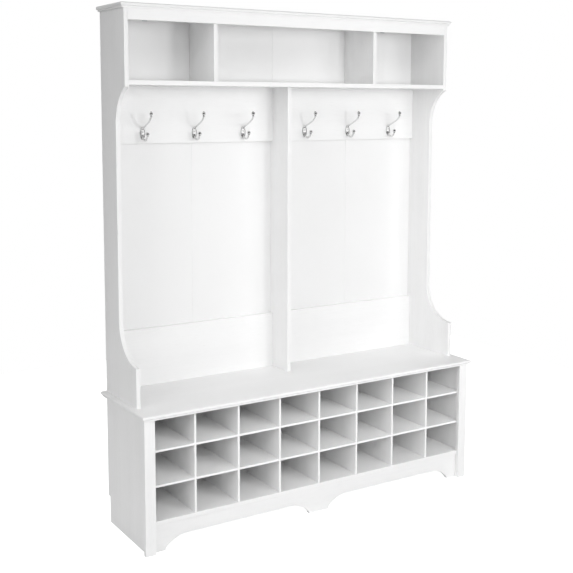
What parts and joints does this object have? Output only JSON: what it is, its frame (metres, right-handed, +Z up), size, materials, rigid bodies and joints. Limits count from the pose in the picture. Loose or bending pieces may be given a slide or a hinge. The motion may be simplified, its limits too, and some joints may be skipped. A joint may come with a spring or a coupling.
{
  "type": "hall tree with hooks",
  "caption": "White laminated hall tree: bench with open shoe cubbies below, tall backed hutch with double coat hooks and open cubbies above.",
  "frame": {"origin": "on the floor, at the centre of the bounding box", "axes": "+X to the right seen from the front, +Y to the back, +Z up; the front faces -Y"},
  "size_m": [1.524, 0.394, 1.951],
  "materials": {
    "white_laminate": "satin white laminate on composite wood board",
    "white_back_panel": "satin white printed hardboard",
    "chrome": "polished chrome plate on cast zinc",
    "chrome_screw": "bright plated steel",
    "zinc_plated_steel": "zinc plated",
    "beech": "raw fluted beech"
  },
  "bodies": {
    "root": {"bench_back_left": "white_back_panel", "bench_back_right": "white_back_panel", "bench_side_left": "white_laminate", "bench_side_right": "white_laminate", "bench_top": "white_laminate", "bracket_screws": "zinc_plated_steel", "cam_bolts": "zinc_plated_steel", "cam_locks": "zinc_plated_steel", "centre_divider": "white_laminate", "centre_leg": "white_laminate", "coat_hook_1": "chrome", "coat_hook_2": "chrome", "coat_hook_3": "chrome", "coat_hook_4": "chrome", "coat_hook_5": "chrome", "coat_hook_6": "chrome", "crown_top": "white_laminate", "cubby_divider_1": "white_laminate", "cubby_divider_2": "white_laminate", "cubby_divider_3": "white_laminate", "cubby_divider_4": "white_laminate", "cubby_divider_5": "white_laminate", "cubby_divider_6": "white_laminate", "cubby_divider_7": "white_laminate", "cubby_floor": "white_laminate", "cubby_shelf_lower": "white_laminate", "cubby_shelf_upper": "white_laminate", "divider_screws": "zinc_plated_steel", "front_apron": "white_laminate", "front_post_left": "white_laminate", "front_post_right": "white_laminate", "hook_rail_left": "white_laminate", "hook_rail_right": "white_laminate", "hook_screws": "chrome_screw", "hutch_back_left": "white_back_panel", "hutch_back_right": "white_back_panel", "hutch_shelf": "white_laminate", "hutch_side_left": "white_laminate", "hutch_side_right": "white_laminate", "lower_rail_left": "white_laminate", "lower_rail_right": "white_laminate", "panel_nails": "zinc_plated_steel", "rear_stretcher": "white_laminate", "top_divider_left": "white_laminate", "top_divider_right": "white_laminate", "top_fascia": "white_laminate", "wall_brackets": "zinc_plated_steel", "wood_dowels": "beech"}
  },
  "joints": []
}
